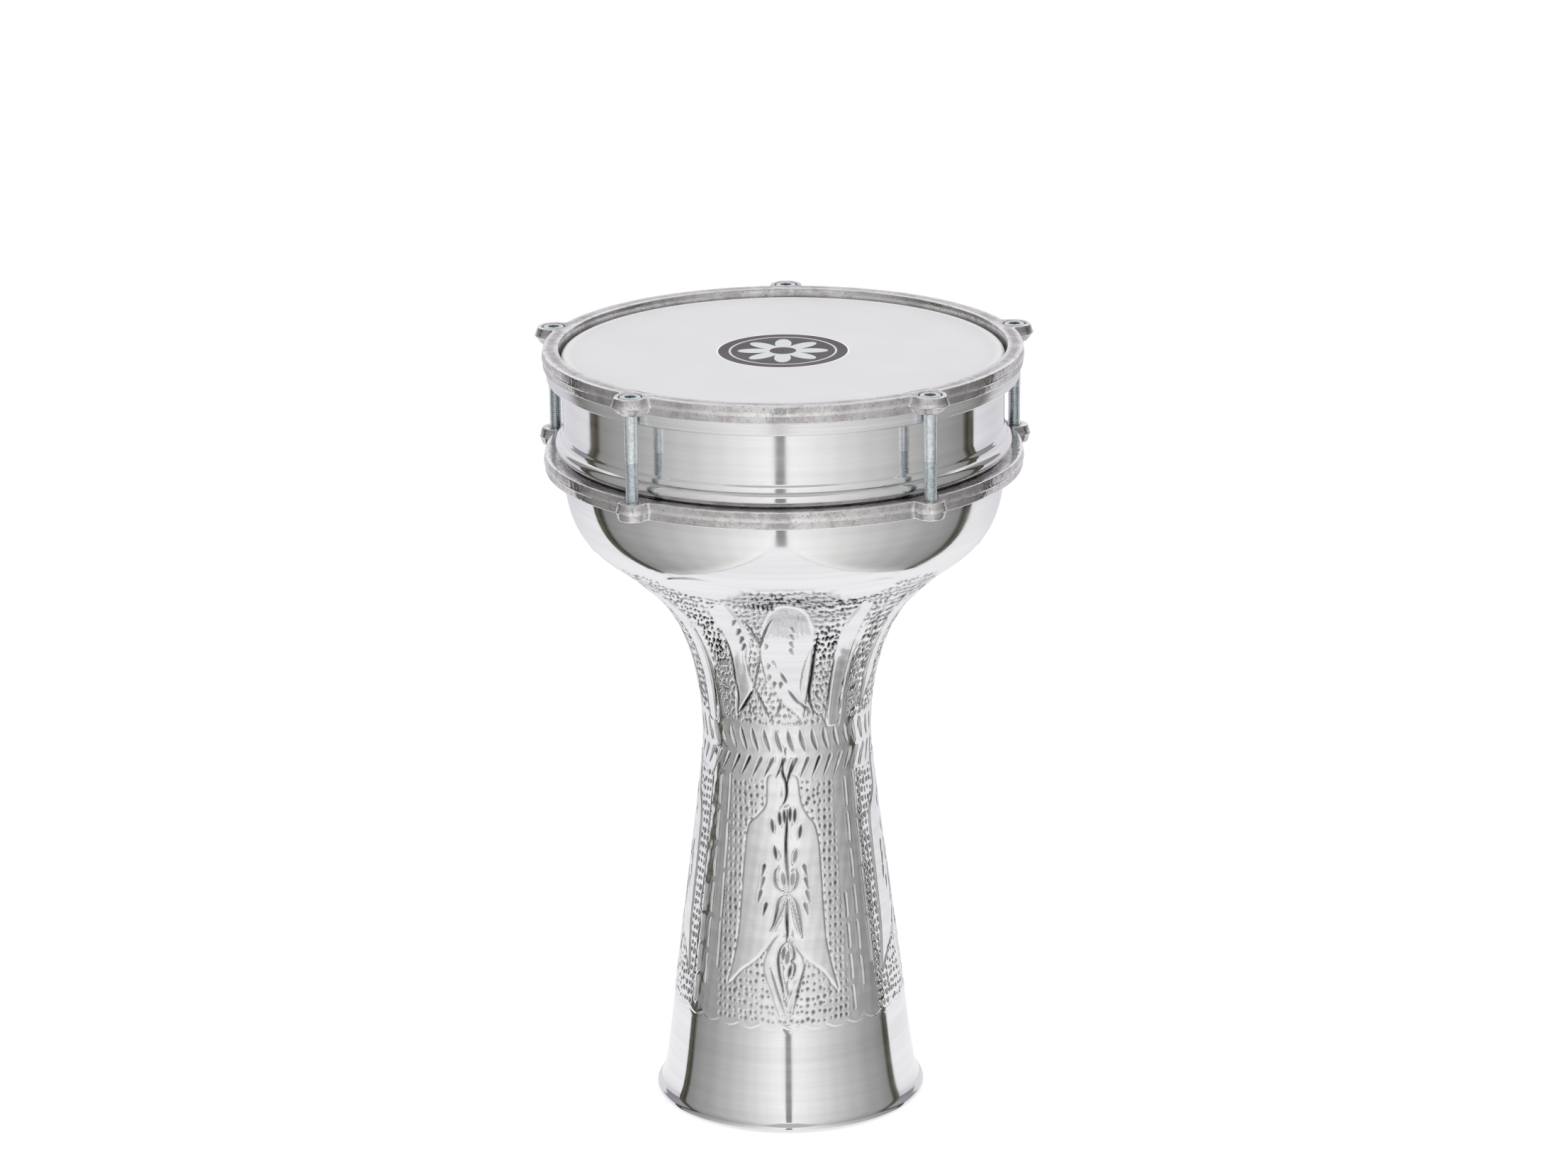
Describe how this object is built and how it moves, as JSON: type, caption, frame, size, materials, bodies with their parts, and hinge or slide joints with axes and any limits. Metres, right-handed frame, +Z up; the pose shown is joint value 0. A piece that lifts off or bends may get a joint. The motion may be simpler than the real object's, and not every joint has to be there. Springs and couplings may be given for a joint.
{
  "type": "darbuka",
  "caption": "Goblet drum: flared metal shell with an engraved neck, a film head, and a cast tension hoop drawn down by socket-head bolts to a cast backing ring.",
  "frame": {"origin": "centre of the foot, on the surface the drum stands on", "axes": "+Z up the drum's axis towards the head; +Y towards one of the five bolt ears; +X to the right when that ear is at the back"},
  "size_m": [0.235, 0.2351, 0.37],
  "materials": {
    "polished_shell": "polished",
    "cast_ring": "tumbled casting",
    "rolled_aluminium": "satin",
    "zinc_bolt": "bright zinc",
    "film": "satin film",
    "resin": "cast resin"
  },
  "bodies": {
    "drum": {"shell": "polished_shell", "lower_ring": "cast_ring", "head_film": "film"},
    "hoop": {"tension_hoop": "cast_ring", "flesh_hoop": "rolled_aluminium", "flesh_resin": "resin"},
    "bolt_1": {"tension_bolt_1": "zinc_bolt"},
    "bolt_2": {"tension_bolt_2": "zinc_bolt"},
    "bolt_3": {"tension_bolt_3": "zinc_bolt"},
    "bolt_4": {"tension_bolt_4": "zinc_bolt"},
    "bolt_5": {"tension_bolt_5": "zinc_bolt"}
  },
  "joints": [
    {"name": "hoop_tuning", "type": "slide", "parent": "drum", "child": "hoop", "axis": [0, 0, 1], "range_m": [-0.0015, 0.002], "deforming": ["head_film"]},
    {"name": "bolt_1_turn", "type": "hinge", "parent": "hoop", "child": "bolt_1", "pos_m": [0, 0.114, 0.37], "axis": [0, 0, 1], "range_deg": [-545, 725]},
    {"name": "bolt_2_turn", "type": "hinge", "parent": "hoop", "child": "bolt_2", "pos_m": [-0.10842, 0.03523, 0.37], "axis": [0, 0, 1], "range_deg": [-545, 725]},
    {"name": "bolt_3_turn", "type": "hinge", "parent": "hoop", "child": "bolt_3", "pos_m": [-0.06701, -0.09223, 0.37], "axis": [0, 0, 1], "range_deg": [-545, 725]},
    {"name": "bolt_4_turn", "type": "hinge", "parent": "hoop", "child": "bolt_4", "pos_m": [0.06701, -0.09223, 0.37], "axis": [0, 0, 1], "range_deg": [-545, 725]},
    {"name": "bolt_5_turn", "type": "hinge", "parent": "hoop", "child": "bolt_5", "pos_m": [0.10842, 0.03523, 0.37], "axis": [0, 0, 1], "range_deg": [-545, 725]}
  ],
  "couplings": [
    {"joint": "bolt_1_turn", "follows": "hoop_tuning", "rad_per_m": 6283.2},
    {"joint": "bolt_2_turn", "follows": "hoop_tuning", "rad_per_m": 6283.2},
    {"joint": "bolt_3_turn", "follows": "hoop_tuning", "rad_per_m": 6283.2},
    {"joint": "bolt_4_turn", "follows": "hoop_tuning", "rad_per_m": 6283.2},
    {"joint": "bolt_5_turn", "follows": "hoop_tuning", "rad_per_m": 6283.2}
  ]
}
